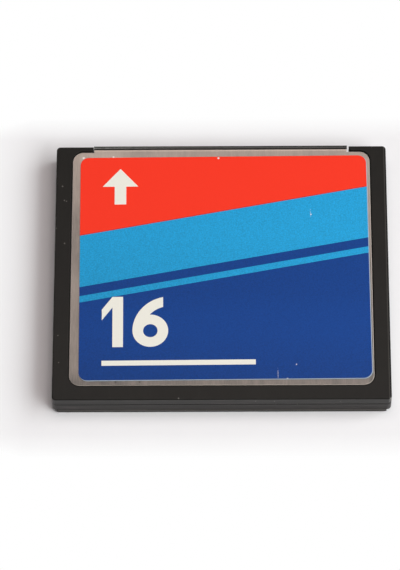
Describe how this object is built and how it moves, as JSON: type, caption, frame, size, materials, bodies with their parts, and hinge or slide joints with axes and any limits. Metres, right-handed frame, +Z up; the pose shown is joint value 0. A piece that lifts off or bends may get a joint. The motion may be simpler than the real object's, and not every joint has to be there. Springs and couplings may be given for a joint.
{
  "type": "compact flash card",
  "caption": "Flat removable memory card: black moulded edge frame with guide slots and finger lip, brushed metal covers, printed label and two rows of pin sockets in its nose.",
  "frame": {"origin": "under the middle of the card's outline, in the plane of the finger lip's underside", "axes": "+X across the card, to the right with the label up and the connector away; +Y towards the connector end; +Z up, out of the label"},
  "size_m": [0.0428, 0.0364, 0.0037],
  "materials": {
    "black_plastic": "fine satin moulded",
    "stainless_sheet": "brushed along the card",
    "label_stock": "satin white",
    "red_ink": "satin print",
    "light_blue_ink": "satin print",
    "dark_blue_ink": "satin print",
    "cream_ink": "satin print",
    "board_laminate": "satin solder mask",
    "connector_plastic": "moulded",
    "contact_alloy": "gold flashed",
    "chip_resin": "moulded",
    "tinned_lead": "tinned",
    "capacitor_ceramic": "fired",
    "resistor_ceramic": "glazed",
    "crystal_can": "drawn",
    "amber_film": "clear amber"
  },
  "bodies": {
    "root": {"top_frame": "black_plastic", "bottom_frame": "black_plastic", "top_cover_plate": "stainless_sheet", "bottom_cover_plate": "stainless_sheet", "label_sheet": "label_stock", "print_red_field": "red_ink", "print_light_blue_field": "light_blue_ink", "print_dark_blue_field": "dark_blue_ink", "print_number": "cream_ink", "print_arrow": "cream_ink", "print_bar": "cream_ink", "circuit_board": "board_laminate", "connector_housing": "connector_plastic", "connector_contacts_upper": "contact_alloy", "connector_contacts_lower": "contact_alloy", "controller_body": "chip_resin", "controller_leads": "tinned_lead", "flash_upper_body": "chip_resin", "flash_upper_leads": "tinned_lead", "flash_lower_body": "chip_resin", "flash_lower_leads": "tinned_lead", "capacitors": "capacitor_ceramic", "capacitor_terminals": "tinned_lead", "resistors": "resistor_ceramic", "resistor_terminals": "tinned_lead", "crystal": "crystal_can", "insulating_film_upper": "amber_film", "insulating_film_lower": "amber_film"}
  },
  "joints": []
}
